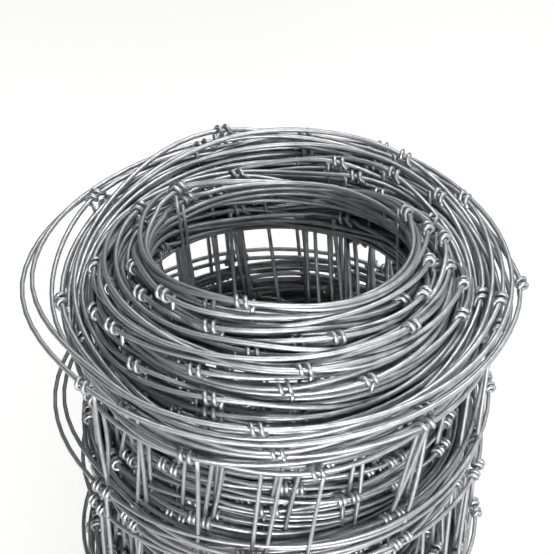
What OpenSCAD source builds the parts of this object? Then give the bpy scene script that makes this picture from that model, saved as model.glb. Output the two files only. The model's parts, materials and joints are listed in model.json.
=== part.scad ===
// Roll of hinge-joint wire fencing, standing on its end.
// The wound mesh is one turned solid round an open bore. The turns of the edge wires
// show as rings on the two ends, and every line wire as a bead round the wall.
// Near the upper end the outermost lap has sprung clear of the wall at its two sides.

/* [Fence] */
// Height of the fence, from the middle of one edge wire to the middle of the other
fence_height = 800; // [600:10:1200]
// Number of line wires across that height, the two edge wires included
line_wires = 8; // [5:1:10]
// Gap between the two line wires at the close-meshed end, which is the upper one
smallest_gap = 85; // [60:1:100]
// Thickness of the two edge wires
edge_wire_d = 2.8; // [2:0.1:4]
// Thickness of the line wires between the edge wires
line_wire_d = 2.5; // [1.6:0.1:3]

/* [Roll] */
// Width of the open bore through the middle of the roll
bore_d = 138; // [80:1:240]
// Number of rings that show the turns on each end, one for about every two turns of the wire
end_rings = 44; // [16:1:60]
// How far the roll grows from ring to ring, less than a wire because the turns slip past each other
ring_pitch = 1.06; // [0.8:0.02:2.4]
// How much narrower the wall is between the ends, where the thinner line wires lie closer
waist_inset = 10; // [4:1:16]
// How far the rings slip out of line with each other at the upper end
end_stagger = 22; // [8:0.5:30]
// How far the rings slip out of line with each other at the lower end
foot_stagger = 8; // [4:0.5:16]
// How much of each edge wire bears on the ground at the lower end
bearing_flat = 0.25; // [0.1:0.05:0.5]

/* [Loose lap] */
// How far the outermost lap stands clear of the wall at its two sides
loose_reach = 18; // [6:1:30]
// How far the loose lap has slipped down below the lowest end ring
loose_slip = 3.5; // [2:0.5:12]
// Number of line wires that stand clear, counted from the upper end
loose_wires = 3; // [1:1:4]
// Thickness of the stay wires that cross the line wires
stay_wire_d = 2.5; // [1.6:0.1:3]

/* [Hidden] */
$fn = 96;
zinc_grey = [0.56, 0.57, 0.58];
// The rings slip by steps of this angle round a circle, so that no ring lies level with the next
slip_angle = 135;
// Where on that circle the innermost ring starts, so that every second ring is not level either
slip_start = 15;
// Width of the neck that ties each end ring to the body, as a share of the ring's
neck_share = 0.5;
// How far the innermost neck, which lines the bore, stands back from it
bore_relief = 0.1;
// How far a neck reaches into the body
neck_root = 1;
// How far the ends of a loose wire reach into the body
loop_root = 5;
// Radius of a loose wire's loop, as a share of the wall's radius
loop_share = 0.9;

bore_r = bore_d / 2;

// Radius of the roll at its ends, and of the wall that the line wires' beads stand on
edge_roll_r = bore_r + (end_rings - 1) * ring_pitch + edge_wire_d;
waist_r = edge_roll_r - waist_inset;

// Heights of the edge wires' middles, and of the wound body between the end rings
lower_z = edge_wire_d / 2 - bearing_flat;
upper_z = lower_z + fence_height;
body_lower_z = lower_z + foot_stagger + edge_wire_d;
body_upper_z = upper_z - end_stagger - edge_wire_d;

// The gaps between line wires widen by equal steps from the upper end to the lower
gaps = line_wires - 1;
gap_step = 2 * (fence_height - gaps * smallest_gap) / (gaps * (gaps - 1));

neck_w = edge_wire_d * neck_share;

// Height of the middle of a line wire, counted from 0 at the upper end
function line_z(i) = upper_z - i * smallest_gap - gap_step * i * (i - 1) / 2;

// Radius of the middle of an end ring, counted from 0 at the bore
function ring_r(n) = bore_r + edge_wire_d / 2 + n * ring_pitch;

// How far a ring has slipped at an end, as a share of the stagger there
function slip(n) = (1 - cos(slip_angle * n + slip_start) / cos(slip_start)) / 2;

// How far a ring's neck reaches inward from the middle of the ring
function neck_in(n) = n == 0 ? edge_wire_d / 2 - bore_relief : neck_w / 2;

// Radius of the wall at a height above the lowest bead
function wall_r(z) = waist_r + (edge_roll_r - waist_r)
    * max(0, z - line_z(1)) / (body_upper_z - line_z(1));

// Thickness, height and reach of a loose wire, counted from 0 at the upper end
function loop_d(i) = i == 0 ? edge_wire_d : line_wire_d;
function loop_z(i) = line_z(i) - end_stagger - edge_wire_d - loose_slip;
function loop_reach(i) = loose_reach * (1 - pow(i / loose_wires, 2));

// Radius of a loose wire's loop, how far its middle lies off the roll's axis, and
// the angle from its far point to where it has gone into the body
function loop_r(i) = wall_r(loop_z(i)) * loop_share;
function loop_far(i) = wall_r(loop_z(i)) + loop_reach(i);
function loop_x(i) = loop_far(i) - loop_r(i);
function loop_half(i) = acos(
    (pow(wall_r(loop_z(i)) - loop_root, 2) - pow(loop_x(i), 2) - pow(loop_r(i), 2))
    / (2 * loop_x(i) * loop_r(i)));

// Thickness of the joint where a stay is wrapped round a loose wire
function joint_d(i) = loop_d(i) + 2 * stay_wire_d;

// One ring of edge wire in section, with the neck that joins it to the body
module end_ring(n, ring_z, body_z) {
    translate([ring_r(n), ring_z]) circle(d = edge_wire_d);
    translate([ring_r(n) - neck_in(n), min(ring_z, body_z)])
        square([neck_in(n) + neck_w / 2, abs(ring_z - body_z)]);
}

// Half section of the wound body between the rings of its two ends
module body_section() {
    polygon(concat(
        [[bore_r, body_lower_z], [edge_roll_r, body_lower_z]],
        [for (i = [gaps - 1 : -1 : 1]) [waist_r, line_z(i)]],
        [[edge_roll_r, body_upper_z], [bore_r, body_upper_z]]
    ));
    for (i = [1 : gaps - 1])
        translate([waist_r, line_z(i)]) circle(d = line_wire_d);
}

// Half section of the whole roll, cut off level where it bears on the ground
module roll_section() {
    intersection() {
        union() {
            body_section();
            for (n = [0 : end_rings - 1]) {
                end_ring(n, upper_z - end_stagger * slip(n), body_upper_z - neck_root);
                end_ring(n, lower_z + foot_stagger * slip(n), body_lower_z + neck_root);
            }
        }
        square([edge_roll_r + edge_wire_d, upper_z + edge_wire_d]);
    }
}

// One loose wire as an arc, with the joint at its far point
module loose_wire(i) {
    translate([loop_x(i), 0, loop_z(i)])
        rotate([0, 0, -loop_half(i)])
            rotate_extrude(angle = 2 * loop_half(i))
                translate([loop_r(i), 0]) circle(d = loop_d(i));
    translate([loop_far(i), 0, loop_z(i)])
        rotate([0, 90, 0]) sphere(d = joint_d(i));
}

// The stay wire between two loose wires, its ends wholly inside their joints
module loose_stay(i) {
    drop = loop_z(i) - loop_z(i + 1);
    inset = loop_far(i) - loop_far(i + 1);
    upper_gap = joint_d(i) / 3;
    lower_gap = joint_d(i + 1) / 3;
    translate([loop_far(i + 1), 0, loop_z(i + 1)])
        rotate([0, atan2(inset, drop), 0])
            translate([0, 0, lower_gap])
                cylinder(d = stay_wire_d, h = norm([drop, inset]) - lower_gap - upper_gap);
}

// The outermost lap where it has sprung clear on one side
module loose_lap() {
    for (i = [0 : loose_wires - 1]) loose_wire(i);
    if (loose_wires > 1)
        for (i = [0 : loose_wires - 2]) loose_stay(i);
}

module fence_roll() {
    color(zinc_grey) {
        rotate_extrude() roll_section();
        loose_lap();
        rotate([0, 0, 180]) loose_lap();
    }
}

fence_roll();
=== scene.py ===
# %% [markdown]
# # A roll of wire fencing
# The real thing is nearly fifty metres of hinge-joint mesh, rolled up and stood on its end. The packed
# CAD part holds its size as one turned solid. This lesson replaces that solid with the wires
# themselves, made from arrays of numbers, so every turn and every joint is real geometry.

# %% Load the frame
import json
import math

import bpy
import numpy as np
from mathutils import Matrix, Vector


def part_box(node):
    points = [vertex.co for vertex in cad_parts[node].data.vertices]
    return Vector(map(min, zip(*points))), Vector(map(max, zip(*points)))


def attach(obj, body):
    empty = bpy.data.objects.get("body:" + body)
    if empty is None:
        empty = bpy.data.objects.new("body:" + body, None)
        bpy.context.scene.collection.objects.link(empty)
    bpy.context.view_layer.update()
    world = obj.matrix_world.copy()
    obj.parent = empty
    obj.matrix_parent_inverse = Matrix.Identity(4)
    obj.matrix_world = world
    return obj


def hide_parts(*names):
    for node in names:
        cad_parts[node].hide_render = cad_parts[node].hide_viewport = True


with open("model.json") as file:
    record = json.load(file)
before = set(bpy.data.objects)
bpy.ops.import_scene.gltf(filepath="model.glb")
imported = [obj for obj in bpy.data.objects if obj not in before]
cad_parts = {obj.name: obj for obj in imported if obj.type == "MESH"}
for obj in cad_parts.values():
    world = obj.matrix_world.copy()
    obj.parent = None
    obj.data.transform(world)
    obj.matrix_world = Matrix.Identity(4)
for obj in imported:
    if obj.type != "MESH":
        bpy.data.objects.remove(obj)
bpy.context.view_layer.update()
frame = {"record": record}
MM = 0.001
_, roll_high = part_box("fence_roll")

# %% [markdown]
# ## The fence as it was woven
# Hinge-joint fencing has two thicker edge wires and thinner line wires between them, closer
# together towards one edge. Short stay wires cross them at an even spacing, each wrapped round
# the line wire above it and the one below. These few sizes settle everything that follows, so
# they stand here as named values, in millimetres, and the rest is taken from the CAD part.

# %% Sizes of the fence
EDGE_WIRE = 2.8
LINE_WIRE = 2.5
STAY_WIRE = 2.5
LINES = 8
SMALLEST_GAP = 85.0
FENCE_HEIGHT = 800.0
# Between its ends the roll is narrower, because the thinner wires lie closer
WAIST_INSET = 9.0

mounts = {mount["name"]: mount for mount in frame["record"]["mounts"]}
bore_radius = mounts["core_bore"]["dims"]["r_mm"]
edge_wall = roll_high[1] / MM
line_wall = edge_wall - WAIST_INSET
top_height = roll_high[2] / MM - EDGE_WIRE / 2
print("bore", round(bore_radius, 1), "wall", round(line_wall, 1), "top", round(top_height, 1))

# %% Heights and thicknesses of the line wires
# The gaps widen by equal steps from the upper edge to the lower
gap_count = LINES - 1
gap_step = 2 * (FENCE_HEIGHT - gap_count * SMALLEST_GAP) / (gap_count * (gap_count - 1))
level = np.arange(LINES)
line_heights = top_height - level * SMALLEST_GAP - gap_step * level * (level - 1) / 2
is_edge = (level == 0) | (level == LINES - 1)
thickness = np.where(is_edge, EDGE_WIRE, LINE_WIRE)
wall = np.where(is_edge, edge_wall, line_wall)
print("line wires at", np.round(line_heights, 1))

# %% [markdown]
# ## Winding the roll
# A curve object with a screw modifier would give a perfect spiral, and a perfect spiral looks
# like a spring. Here each wire is a long list of points instead, one every five degrees, with
# its own radius and height at each. Numbers that are kept in an array like this can be pushed
# about and settled before any mesh is made.

# %% Wind an even spiral
TURNS = 84
STEPS = 72
POINTS = TURNS * STEPS
# Degrees at the outer end of the winding: 180 is left, 270 the front and 360 right
END_ANGLE = 385.0
turn = np.arange(POINTS) / STEPS
share = turn / TURNS
degrees = END_ANGLE - 360 * (TURNS - turn)
angle = np.radians(degrees)

radius = np.array([
    bore_radius + thickness[line] / 2 + share * (wall[line] - bore_radius - thickness[line])
    for line in range(LINES)
])
# The innermost turn is cut short, so that its end lies at the front
INNER_CUT = 245.0
first_point = round(INNER_CUT / 360 * STEPS)
middle_radius = radius.mean(axis=0)
length = np.cumsum(middle_radius * math.tau / STEPS)
print("wound length in metres:", round(length[-1] * MM, 2))

# %% [markdown]
# ## Unevenness that a stiff wire can follow
# No turn of a real roll is quite like the next. A displace modifier with a noise texture would
# dent the wires as well as bend them, so the drift is worked out along each wire instead. Plain
# random numbers are smoothed by a bell curve, and some of them across the turns too, which move
# together in bundles. The seed is fixed, so every run gives the same roll.

# %% Helpers for slow changes along a wire
SEED = 11
rng = np.random.default_rng(SEED)
# A bell curve is cut off at this many spreads, where it has died away
BELL_REACH = 4
# Where one turn runs on into the next, a bundle is evened out over this many points each way
JOIN_REACH = 12


def bell(distance, spread):
    """A smooth bell curve, 1 in the middle and small beyond two spreads."""
    return np.exp(-0.5 * (distance / spread) ** 2)


def wander(spread, amount):
    """A smooth random drift along a wire: spread in degrees, amount in mm."""
    steps = spread / 360 * STEPS
    reach = int(BELL_REACH * steps)
    kernel = bell(np.arange(-reach, reach + 1), steps)
    drift = np.convolve(rng.standard_normal(POINTS + 2 * reach), kernel, "valid")
    return amount * drift / drift.std()


def bundle(spread, turns, amount):
    """A drift that neighbouring turns share: spread in degrees, turns across, amount in mm."""
    drift = wander(spread, 1.0).reshape(TURNS, STEPS)
    number = np.arange(TURNS)
    drift = (bell(number[:, None] - number[None, :], turns) @ drift).ravel()
    window = 2 * JOIN_REACH + 1
    drift = np.convolve(np.pad(drift, JOIN_REACH, "edge"), np.ones(window) / window, "valid")
    return amount * drift / drift.std()


print("drift is worked out at", POINTS, "points of each wire")

# %% [markdown]
# ## Slack in the turns
# A roll that has been opened once is never tight. At the front each turn has slipped down past
# the one inside it, at the back those a little way out from the bore lie lowest, and the
# outermost lap has sprung away from the roll on its two sides. Each of these is a gentle change
# of radius or height along the wire. Proportional editing by hand could give it too, but a few
# pairs of numbers are easier to change later.

# %% How far the turns have slipped down
# Share of the way from the bore to the outside, and how far that turn has slipped down, in mm
FRONT_SLIP = [(0.0, 6), (0.12, 9), (0.5, 33), (0.9, 76), (0.96, 52), (1.0, 44)]
BACK_SLIP = [(0.0, 14), (0.08, 17), (0.15, 38), (1.0, 12)]
# Below the edge wire the outermost turns have been pushed up at the back
LOWER_BACK_SLIP = [(0.0, 14), (0.08, 17), (0.15, 38), (0.6, 34), (0.9, 24), (1.0, -8)]
# The innermost turn has dropped into the bore at its end: mm, and degrees along the wire
INNER_DROP = 40.0
INNER_REACH = 150.0
# Bundles of turns slip up and down together: degrees along, turns across, and mm
SLIP_SPREAD = 70
BUNDLE_TURNS = 4
BUNDLE_SLIP = 3.0

at_back = (1 + np.sin(angle)) / 2
from_inner_end = np.clip((degrees - degrees[first_point]) / INNER_REACH, 0, 1)
slip = bundle(SLIP_SPREAD, BUNDLE_TURNS, BUNDLE_SLIP) - INNER_DROP * (1 - from_inner_end) ** 2
slip -= np.interp(share, *np.array(FRONT_SLIP).T) * (1 - at_back)
edge_slip = slip - np.interp(share, *np.array(BACK_SLIP).T) * at_back
line_slip = slip - np.interp(share, *np.array(LOWER_BACK_SLIP).T) * at_back
print("the upper edge wire has slipped down by up to", round(-edge_slip.min(), 1), "mm")

# %% How far the outermost laps have sprung out
# Degrees along the winding, as for its outer end, and how far the wire stands out there, in mm
SPRUNG = [(-900, 0), (-720, 3), (-630, 0), (-540, 8), (-450, 0), (-360, 6), (-270, 1), (-182, 22),
          (-135, 6), (-90, 1), (0, 9), (90, 4), (178, 27), (225, 8), (270, 2), (345, 9), (385, 3)]
# Share of it that each line wire takes, from the upper end to the lower
SPRUNG_SHARE = [1.0, 0.85, 0.4, 0.2, 0.1, 0.0, 0.0, 0.0]


def eased(table):
    """Runs smoothly along the wire through a table of (degrees, millimetres)."""
    at, value = np.array(table, float).T
    left = np.clip(np.searchsorted(at, degrees) - 1, 0, len(at) - 2)
    t = np.clip((degrees - at[left]) / (at[left + 1] - at[left]), 0, 1)
    return value[left] + (value[left + 1] - value[left]) * t * t * (3 - 2 * t)


sprung = eased(SPRUNG)
print("the loose lap stands out by up to", round(sprung.max(), 1), "mm")

# %% Slip, spring and drift on the spiral
# Small drift in and out, in mm: bundles of turns together, and each wire by itself
DRIFT_SPREAD = 60
BUNDLE_SPRING = 0.8
WIRE_SPRING = 0.5
# Each wire drifts up and down by itself too, and the lower ones further than the upper ones
UPPER_DRIFT = 1.8
LOWER_DRIFT = 12.0
# The turns stand unevenly on the ground, in a wave that goes on by this angle in each turn
FOOT = 1.5
FOOT_STAGGER = 26.0
FOOT_ANGLE = 135.0

loosened = bundle(DRIFT_SPREAD, BUNDLE_TURNS, BUNDLE_SPRING)
height = np.zeros_like(radius)
for line in range(LINES):
    lift = line_heights[line] / top_height
    height[line] = line_heights[line] + lift * (edge_slip if line == 0 else line_slip)
    height[line] += wander(DRIFT_SPREAD, UPPER_DRIFT + LOWER_DRIFT * (1 - lift))
    radius[line] += SPRUNG_SHARE[line] * sprung + loosened + wander(DRIFT_SPREAD, WIRE_SPRING)

foot_wave = (1 - np.cos(np.radians(FOOT_ANGLE) * turn)) / 2
height[-1] = EDGE_WIRE / 2 + FOOT + FOOT_STAGGER * foot_wave
print("top edge wire runs from", round(height[0].min(), 1), "to", round(height[0].max(), 1))

# %% [markdown]
# ## Where the stays cross
# Stays keep their spacing along the fence, so they fall at a different angle on every turn. An
# array modifier on a curve would space them evenly too, but here their places have to be known
# as numbers, because the wires bend there. The outermost one sits just short of the outer end,
# and the rest are counted back from it. The mesh was pulled askew as it was rolled, so its upper
# rows of stays lean a little.

# %% Place the stays
STAY_SPACING = 300.0
LAST_STAY = 379.0
# The innermost stay keeps clear of the wire's end by this share of a spacing
END_CLEARANCE = 0.3
# The stays lean by this angle, down to about this depth below the upper edge
SKEW = 7.0
SKEW_DEPTH = 200.0
# Each joint has slid along its line wire a little, in mm
JOINT_SLIDE = 1.5
# No joint comes nearer to the end of a wire than this many points
FREE_POINTS = 4

last = np.interp(LAST_STAY, degrees, length)
inner_limit = length[first_point] + STAY_SPACING * END_CLEARANCE
stay_length = np.arange(last, inner_limit, -STAY_SPACING)
stay_index = np.interp(stay_length, length, np.arange(POINTS))
STAYS = len(stay_index)

depth = top_height - line_heights
pull = -math.tan(math.radians(SKEW)) * SKEW_DEPTH * np.tanh(depth / SKEW_DEPTH)
step_length = np.interp(stay_index, np.arange(POINTS), middle_radius) * math.tau / STEPS
joint_index = np.array([
    stay_index + (pull[line] + rng.normal(0, JOINT_SLIDE, STAYS)) / step_length
    for line in range(LINES)
])
joint_index = np.clip(joint_index, first_point + FREE_POINTS, POINTS - 1 - FREE_POINTS)
print(STAYS, "stays of", gap_count, "wires each")

# %% [markdown]
# ## Kinks at the joints
# A stay is stiff and holds its line wire out, so a turn isn't a true circle: it bends at each
# joint and is nearly straight between two of them. Moving the points of a curve object would
# take an edit for every joint. With arrays it is one bump of the radius that is largest at a
# joint and dies away on both sides, and it is larger where the lap has sprung loose.

# %% Kink the wires at their joints
KINK = 1.8
# A sprung wire kinks more, by this share of how far it stands out
LOOSE_KINK = 0.25
KINK_REACH = 75.0
# The bump's mean comes off again, so that the roll keeps its size
BUMP_MEAN = 1 / 3

kink_size = KINK + LOOSE_KINK * sprung
for line in range(LINES):
    joint_length = np.sort(np.interp(joint_index[line], np.arange(POINTS), length))
    after = np.clip(np.searchsorted(joint_length, length), 1, STAYS - 1)
    since_last = np.abs(length - joint_length[after - 1])
    to_next = np.abs(joint_length[after] - length)
    away = np.clip(np.minimum(since_last, to_next) / KINK_REACH, 0, 1)
    radius[line] += kink_size * ((1 - away) ** 2 - BUMP_MEAN)
print("kinks of", round(kink_size.min(), 1), "to", round(kink_size.max(), 1), "mm")

# %% [markdown]
# ## Letting the turns settle
# The drift pushes some turns through each other, which no wire can do. Seen in a slice through
# the axis, each turn is a small disc, and discs that overlap are pushed apart until they touch.
# A joint counts as a fatter disc. The push is shared along the wire, because a stiff wire moves
# as a curve and not at one point. A rigid-body solver could do this too, but takes minutes.

# %% Push turns apart
ROUNDS = 100
GROUND_GAP = 0.6
# A push spreads along the wire in a bell curve: its spread and its reach in points
SHARE_STEPS = 4.0
SHARE_REACH = 15
# Each push is a little stronger than needed, so that fewer rounds will do
PUSH = 1.5
# Keeps two turns in the same place from dividing by nothing
TINY = 1e-6

share_kernel = bell(np.arange(-SHARE_REACH, SHARE_REACH + 1), SHARE_STEPS)
share_kernel *= PUSH / share_kernel.sum()
other_turn = ~np.eye(TURNS, dtype=bool)[:, :, None]


def shared(push):
    """Spreads a push at single points along the stiff wire."""
    return np.convolve(push.ravel(), share_kernel, "same").reshape(push.shape)


def settle(r, z, half):
    """Pushes the turns of one line wire apart until hardly any runs through another."""
    r, z, half = (a.reshape(TURNS, STEPS).copy() for a in (r, z, half))
    reach = half[:, None] + half[None, :]
    for _ in range(ROUNDS):
        dr = r[:, None] - r[None, :]
        dz = z[:, None] - z[None, :]
        apart = np.sqrt(dr ** 2 + dz ** 2) + TINY
        push = np.where(other_turn & (apart < reach), (reach - apart) / apart / 2, 0)
        r = np.maximum(r + shared((push * dr).sum(axis=1)), bore_radius + half)
        z = np.maximum(z + shared((push * dz).sum(axis=1)), half + GROUND_GAP)
    worst = np.where(other_turn, reach - apart, 0).max()
    return r.ravel(), z.ravel(), worst


print("a push reaches", SHARE_REACH * 360 / STEPS, "degrees along the wire")

# %% Settle the turns of each line wire
# A joint takes up this many points of the wire to each side of its middle
JOINT_POINTS = 2
for line in range(LINES):
    half = np.full(POINTS, thickness[line] / 2)
    # What was cut off at the inner end has less than no thickness, so it pushes nothing
    half[:first_point] = -STAY_SPACING
    for i in np.round(joint_index[line]).astype(int):
        half[i - JOINT_POINTS:i + JOINT_POINTS + 1] = thickness[line] / 2 + STAY_WIRE
    radius[line], height[line], worst = settle(radius[line], height[line], half)
    print("line wire", line + 1, "deepest overlap left in mm:", round(worst, 2))

wire_path = np.stack([radius * np.cos(angle), radius * np.sin(angle), height], axis=-1)
print("widest point", round(radius.max(), 1), "lowest", round(height.min(), 2))

# %% [markdown]
# ## Galvanised wire
# Fence wire is drawn steel that has been dipped in molten zinc. Zinc is a bluish grey metal, a
# little duller than bare steel, and it freezes in patches, so its gloss and its grey change every
# few millimetres. An image texture would need the wires unwrapped, and noise in space doesn't. So
# it is one metal shader: two greys and a roughness from the same noise, and a finer noise as a
# slight bump for the skin of the coating.

# %% Node and colour helpers
def linear(code):
    """Turns an sRGB hex colour such as 9C9EA2 to the linear colour that Blender works in."""
    srgb = [int(code[i:i + 2], 16) / 255 for i in (0, 2, 4)]
    return [c / 12.92 if c <= 0.04045 else ((c + 0.055) / 1.055) ** 2.4 for c in srgb] + [1.0]


def add_node(tree, kind, settings=None, links=None):
    """Adds a node. Settings go to its sockets or properties, links feed its inputs."""
    node = tree.nodes.new(kind)
    for name, value in (settings or {}).items():
        if name in node.inputs:
            node.inputs[name].default_value = value
        else:
            setattr(node, name, value)
    for name, source in (links or {}).items():
        tree.links.new(source, node.inputs[name])
    return node


print("hex 808080 is half way to the eye, and in linear light", round(linear("808080")[0], 3))

# %% Zinc-coated drawn wire
# Dipped zinc gives the eye a soft grey gleam, broken up by patches that are a little duller
SPANGLE = 7.0
SKIN = 1.2
SKIN_DEPTH = 0.08
# Most of a noise texture's values lie between these two
NOISE_LOW = 0.3
NOISE_HIGH = 0.7
DULL = 0.6
BRIGHT = 0.48

galvanised = bpy.data.materials.new("hot_dip_galvanised_wire")
galvanised.use_nodes = True
tree = galvanised.node_tree
tree.nodes.clear()
place = add_node(tree, "ShaderNodeTexCoord")
patches = add_node(
    tree, "ShaderNodeTexNoise",
    {"Scale": 1 / (SPANGLE * MM), "Detail": 3.0, "Roughness": 0.6},
    {"Vector": place.outputs["Object"]},
)
skin = add_node(
    tree, "ShaderNodeTexNoise",
    {"Scale": 1 / (SKIN * MM), "Detail": 2.0},
    {"Vector": place.outputs["Object"]},
)
grey = add_node(tree, "ShaderNodeValToRGB", links={"Fac": patches.outputs["Fac"]})
dark_end, pale_end = grey.color_ramp.elements
dark_end.position = NOISE_LOW
dark_end.color = linear("96989B")
pale_end.position = NOISE_HIGH
pale_end.color = linear("B4B6B9")
gloss = add_node(
    tree, "ShaderNodeMapRange",
    {"From Min": NOISE_LOW, "From Max": NOISE_HIGH, "To Min": DULL, "To Max": BRIGHT},
    {"Value": patches.outputs["Fac"]},
)
bump = add_node(
    tree, "ShaderNodeBump",
    {"Strength": 0.25, "Distance": SKIN_DEPTH * MM},
    {"Height": skin.outputs["Fac"]},
)
metal = add_node(
    tree, "ShaderNodeBsdfPrincipled", {"Metallic": 1.0},
    {"Base Color": grey.outputs["Color"], "Roughness": gloss.outputs["Result"],
     "Normal": bump.outputs["Normal"]},
)
add_node(tree, "ShaderNodeOutputMaterial", links={"Surface": metal.outputs["BSDF"]})
print("made", galvanised.name, "with", len(tree.nodes), "nodes")

# %% [markdown]
# ## From points to tubes
# A curve with a round bevel is the usual way to a wire, but it would be one object per wire, and
# there are hundreds. Sweeping a ring of points along each path with arrays gives one joined
# mesh for a whole row at once. The ring is carried along without twist, and both ends are capped,
# so every wire is a closed solid.

# %% Sweep rings along paths
# The ring starts square to the path, on a side that this slanting direction picks
START_SIDE = [0.3, 0.5, 0.8]
NUDGE = 1e-3


def sweep(paths, wire, sides):
    """Vertices and faces of round wires along paths, an array of (wires, points, 3)."""
    wires, count, _ = paths.shape
    ahead = np.gradient(paths, axis=1)
    ahead /= np.linalg.norm(ahead, axis=2, keepdims=True)
    aside = np.zeros_like(paths)
    aside[:, 0] = np.cross(ahead[:, 0], np.cross(ahead[:, 1] + NUDGE, START_SIDE))
    for i in range(count):
        before = aside[:, max(i - 1, 0)]
        flat = before - ahead[:, i] * (before * ahead[:, i]).sum(axis=1, keepdims=True)
        aside[:, i] = flat / np.linalg.norm(flat, axis=1, keepdims=True)
    across = np.cross(ahead, aside)
    turn_round = (np.arange(sides) * math.tau / sides)[:, None]
    ring = np.cos(turn_round) * aside[:, :, None] + np.sin(turn_round) * across[:, :, None]
    points = (paths[:, :, None] + ring * wire / 2).reshape(-1, 3)
    number = np.arange(len(points)).reshape(wires, count, sides)
    beside = np.roll(number, -1, axis=2)
    skin_faces = np.stack([number[:, :-1], beside[:, :-1], beside[:, 1:], number[:, 1:]], axis=-1)
    caps = np.concatenate([number[:, 0, ::-1], number[:, -1]])
    return points, skin_faces.reshape(-1, 4).tolist() + caps.tolist()


test_path = np.array([[[0.0, 0.0, 0.0], [0.0, 0.0, 1.0], [0.0, 0.0, 2.0]]])
print("a test wire with six sides has", len(sweep(test_path, LINE_WIRE, 6)[1]), "faces")


# %% Add a piece to the frame
def add_wires(name, paths, wire, sides):
    """Makes one closed piece from paths in mm, and ties it to the frame."""
    points, faces = sweep(paths, wire, sides)
    mesh = bpy.data.meshes.new(name)
    mesh.from_pydata(points * MM, [], faces)
    mesh.shade_smooth()
    mesh.materials.append(galvanised)
    piece = bpy.data.objects.new(name, mesh)
    bpy.context.scene.collection.objects.link(piece)
    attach(piece, "root")
    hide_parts("fence_roll")
    print(name, len(faces), "faces")


# %% [markdown]
# ## The line wires
# Each line wire is one unbroken length, wound with all the others from the bore to the outside.
# The paths are ready, so each takes a single sweep. A tube with many sides would be rounder, but
# a wire is only a few pixels wide and smooth shading hides its corners. So six sides do for the
# rows that the camera is close to, and five for the rest.

# %% The eight line wires
NEAR_ROWS = 2
NEAR_SIDES = 6
FAR_SIDES = 5
middle_names = [f"line_wire_{line + 1}" for line in range(1, LINES - 1)]
line_names = ["edge_wire_upper"] + middle_names + ["edge_wire_lower"]
for line in range(LINES):
    sides = NEAR_SIDES if line < NEAR_ROWS else FAR_SIDES
    add_wires(line_names[line], wire_path[line][None, first_point:], thickness[line], sides)

# %% [markdown]
# ## Hinge joints
# A stay is cut to the height of one gap plus its two wraps, and lies on the inner side of the
# line wires. At a line wire in the middle of the fence the stay above is wrapped to one side and
# the stay below to the other, twice each, so that the joint can hinge. At an edge wire the wraps
# are open and the tail sticks out. A joint could be modelled once and copied, but every line wire
# runs at its own slant there. So each end is worked out as a short helix round its own wire, and
# a straight length with a slight bow joins the two.

# %% Directions at a joint
def at_joint(line, index):
    """Middle of a line wire at the joints, and the directions along, outward and up."""
    whole = np.floor(index).astype(int)
    part = (index - whole)[:, None]
    middle = wire_path[line][whole] * (1 - part) + wire_path[line][whole + 1] * part
    along = wire_path[line][whole + 2] - wire_path[line][whole - 1]
    along /= np.linalg.norm(along, axis=1, keepdims=True)
    outward = middle * [1, 1, 0]
    outward -= along * (outward * along).sum(axis=1, keepdims=True)
    outward /= np.linalg.norm(outward, axis=1, keepdims=True)
    return middle, along, outward, np.cross(outward, along)


print("outermost joint of the upper edge wire at", np.round(at_joint(0, joint_index[0])[0][0], 1))

# %% The wrapped end of a stay
WRAPS = 2
OPEN_PITCH = 4.6
CLOSE_PITCH = 2.6
# The two stays of a hinge start this far to each side of its middle, as a share of the line wire
HINGE_START = 0.55
# Gap between a wrap and the wire inside it
WRAP_GAP = 0.03
# The tail at an edge wire goes on by these shares of a turn, and by these mm outward and along
TAIL_TURN = np.array([0.06, 0.1])
TAIL_RISE = np.array([0.3, 0.9])
TAIL_SLIDE = np.array([1.4, 3.2])


def wrapped_end(line, index, under, points):
    """Points of one stay end, from where it meets the line wire to its tail."""
    middle, along, outward, up = (a[:, None] for a in at_joint(line, index))
    way = 1 if under else -1
    pitch = OPEN_PITCH if is_edge[line] else CLOSE_PITCH
    start = 0 if is_edge[line] else way * LINE_WIRE * HINGE_START
    round_wire = np.linspace(0, WRAPS, WRAPS * points + 1)
    off = np.full_like(round_wire, (thickness[line] + STAY_WIRE) / 2 + WRAP_GAP)
    slide = start + way * pitch * round_wire
    if is_edge[line]:
        round_wire = np.append(round_wire, WRAPS + TAIL_TURN)
        off = np.append(off, off[-1] + TAIL_RISE)
        slide = np.append(slide, slide[-1] + way * TAIL_SLIDE)
    # Half a turn from outward is the inner side, where the wraps start
    spin = math.pi - way * math.tau * round_wire
    return (middle + along * slide[:, None] + outward * (off * np.cos(spin))[:, None]
            + up * (off * np.sin(spin))[:, None])


print("wire in one wrap, in mm:", round(math.pi * (LINE_WIRE + STAY_WIRE), 1))

# %% Seven rows of stays
NEAR_POINTS = 9
FAR_POINTS = 5
STRAIGHT_POINTS = 6
# How far a stay is bent between its joints, in mm
BEND = 1.0
between = np.linspace(0, 1, STRAIGHT_POINTS + 2)[1:-1, None]
bow = np.sin(math.pi * between)
for line in range(gap_count):
    points, sides = (NEAR_POINTS, NEAR_SIDES) if line < NEAR_ROWS else (FAR_POINTS, FAR_SIDES)
    upper = wrapped_end(line, joint_index[line], False, points)
    lower = wrapped_end(line + 1, joint_index[line + 1], True, points)
    first, final = upper[:, :1], lower[:, :1]
    bend = rng.normal(0, BEND, (STAYS, 1, 3)) * [1, 1, 0]
    straight = first + (final - first) * between + bend * bow
    stays = np.concatenate([upper[:, ::-1], straight, lower], axis=1)
    add_wires(f"stays_row_{line + 1}", stays, STAY_WIRE, sides)

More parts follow.
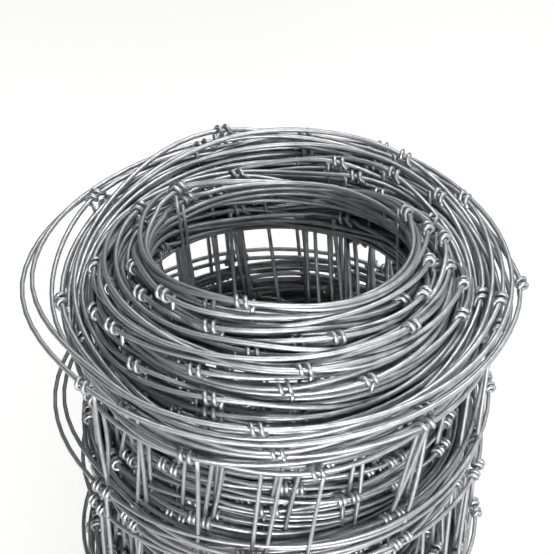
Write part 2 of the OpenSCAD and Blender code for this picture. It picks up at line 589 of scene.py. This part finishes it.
# %% [markdown]
# ## Floor
# The roll stands on a plain white floor. More light could make the floor white, but would bleach
# the wire as well. So its material glows only for the eye, for mirror-like surfaces and for glass,
# which a Light Path node can tell, and it lights nothing else. Round the roll that glow fades,
# because the lamps are bright enough there and the floor has to keep the roll's shadow.

# %% A floor that looks white
# Matt plaster gives the eye an even white without any gleam
FLOOR_SIZE = 60
# Metres from the middle of the roll where the glow starts to grow, and where it is whole
SHADOW_REACH = 0.45
WHITE_FROM = 1.4
LEAST_GLOW = 0.1

bpy.ops.mesh.primitive_plane_add(size=FLOOR_SIZE)
floor = bpy.context.object
floor.name = "floor"
plaster = bpy.data.materials.new("matt_white_plaster")
plaster.use_nodes = True
tree = plaster.node_tree
tree.nodes.clear()
path = add_node(tree, "ShaderNodeLightPath")
seen = add_node(
    tree, "ShaderNodeMath", {"operation": "MAXIMUM"},
    {0: path.outputs["Is Camera Ray"], 1: path.outputs["Is Glossy Ray"]},
)
seen_at_all = add_node(
    tree, "ShaderNodeMath", {"operation": "MAXIMUM"},
    {0: seen.outputs["Value"], 1: path.outputs["Is Transmission Ray"]},
)
on_floor = add_node(tree, "ShaderNodeTexCoord")
from_roll = add_node(
    tree, "ShaderNodeVectorMath", {"operation": "LENGTH"}, {0: on_floor.outputs["Object"]}
)
far_off = add_node(
    tree, "ShaderNodeMapRange",
    {"From Min": SHADOW_REACH, "From Max": WHITE_FROM, "To Min": LEAST_GLOW, "To Max": 1.0},
    {"Value": from_roll.outputs["Value"]},
)
glow = add_node(
    tree, "ShaderNodeMath", {"operation": "MULTIPLY"},
    {0: seen_at_all.outputs["Value"], 1: far_off.outputs["Result"]},
)
white = add_node(
    tree, "ShaderNodeBsdfPrincipled",
    {"Base Color": linear("F2F2F0"), "Roughness": 0.9, "Emission Color": linear("EAEAE9")},
    {"Emission Strength": glow.outputs["Value"]},
)
add_node(tree, "ShaderNodeOutputMaterial", links={"Surface": white.outputs["BSDF"]})
floor.data.materials.append(plaster)
print("floor of", FLOOR_SIZE, "m in", plaster.name)

# %% [markdown]
# ## Sky
# Metal shows what is around it. Under an evenly white sky all the wires would be one pale grey,
# and the roll would lose its depth. A dim sky that is palest at the horizon leaves the upper sides
# of the wires to the lamps, and the dark lines between the wires stay dark.

# %% A dim sky
HORIZON = 0.16
OVERHEAD = 0.06
# Height on the unit sphere of directions where the sky has reached its darkest
DARK_FROM = 0.5
world = bpy.data.worlds.new("studio")
bpy.context.scene.world = world
world.use_nodes = True
tree = world.node_tree
tree.nodes.clear()
direction = add_node(tree, "ShaderNodeTexCoord")
parts = add_node(tree, "ShaderNodeSeparateXYZ", links={"Vector": direction.outputs["Generated"]})
ceiling = add_node(
    tree, "ShaderNodeMapRange",
    {"From Min": 0.0, "From Max": DARK_FROM, "To Min": HORIZON, "To Max": OVERHEAD},
    {"Value": parts.outputs["Z"]},
)
sky = add_node(
    tree, "ShaderNodeBackground", {"Color": linear("FFFFFF")}, {"Strength": ceiling.outputs["Result"]}
)
add_node(tree, "ShaderNodeOutputWorld", links={"Surface": sky.outputs["Background"]})
print("sky from", HORIZON, "at the horizon to", OVERHEAD, "overhead")

# %% [markdown]
# ## Lamps
# Three large soft lamps light the roll: one overhead, one in front and a weak one from the right.
# Sun or point lamps would put a hard glint on every wire, and an area lamp makes a soft streak
# along it. Each has a grid in front, as in a studio, which is the spread of an area lamp. It keeps
# stray light off the floor further out.

# %% Three soft lamps
SPREAD = 70.0


def soft_lamp(name, place_at, aim, size, watts):
    """A square area lamp at one point that faces another, all in metres."""
    lamp = bpy.data.objects.new(name, bpy.data.lights.new(name, "AREA"))
    lamp.data.size = size
    lamp.data.energy = watts
    lamp.data.spread = math.radians(SPREAD)
    lamp.location = place_at
    ray = np.array(aim, float) - np.array(place_at, float)
    tip = math.atan2(math.hypot(ray[0], ray[1]), -ray[2])
    lamp.rotation_euler = (tip, 0, math.atan2(ray[1], ray[0]) - math.pi / 2)
    bpy.context.scene.collection.objects.link(lamp)
    print(name, watts, "W from", round(float(np.linalg.norm(ray)), 2), "m away")


soft_lamp("ceiling_lamp", (0.4, 0.3, 2.6), (0, 0, 0.8), 1.4, 10)
soft_lamp("front_lamp", (0.35, -2.4, 0.95), (0, 0, 0.7), 1.1, 21)
soft_lamp("side_lamp", (2.2, -0.1, 1.1), (0, 0, 0.7), 1.2, 3)

# %% [markdown]
# ## Camera
# The photograph looks down into the upper end, here from about a metre away, and cuts the roll
# off below. A wide lens from close by would stretch the near side, so this is a long lens. Its
# place and tilt were found by laying the bore and the outline of the upper end over the picture.

# %% Camera
LENS = 123.3
SENSOR = 36
CAMERA_PLACE = (0, -0.8547, 1.3365)
LOOK_DOWN = 33.4
TURN_LEFT = 0.11
camera = bpy.data.objects.new("camera", bpy.data.cameras.new("camera"))
camera.data.lens = LENS
camera.data.sensor_width = SENSOR
camera.location = CAMERA_PLACE
camera.rotation_euler = (math.radians(90 - LOOK_DOWN), 0, math.radians(TURN_LEFT))
bpy.context.scene.collection.objects.link(camera)
bpy.context.scene.camera = camera
bpy.context.scene.view_settings.view_transform = "Standard"
view_angle = 2 * math.degrees(math.atan(SENSOR / 2 / LENS))
print("camera sees", round(view_angle, 1), "degrees")
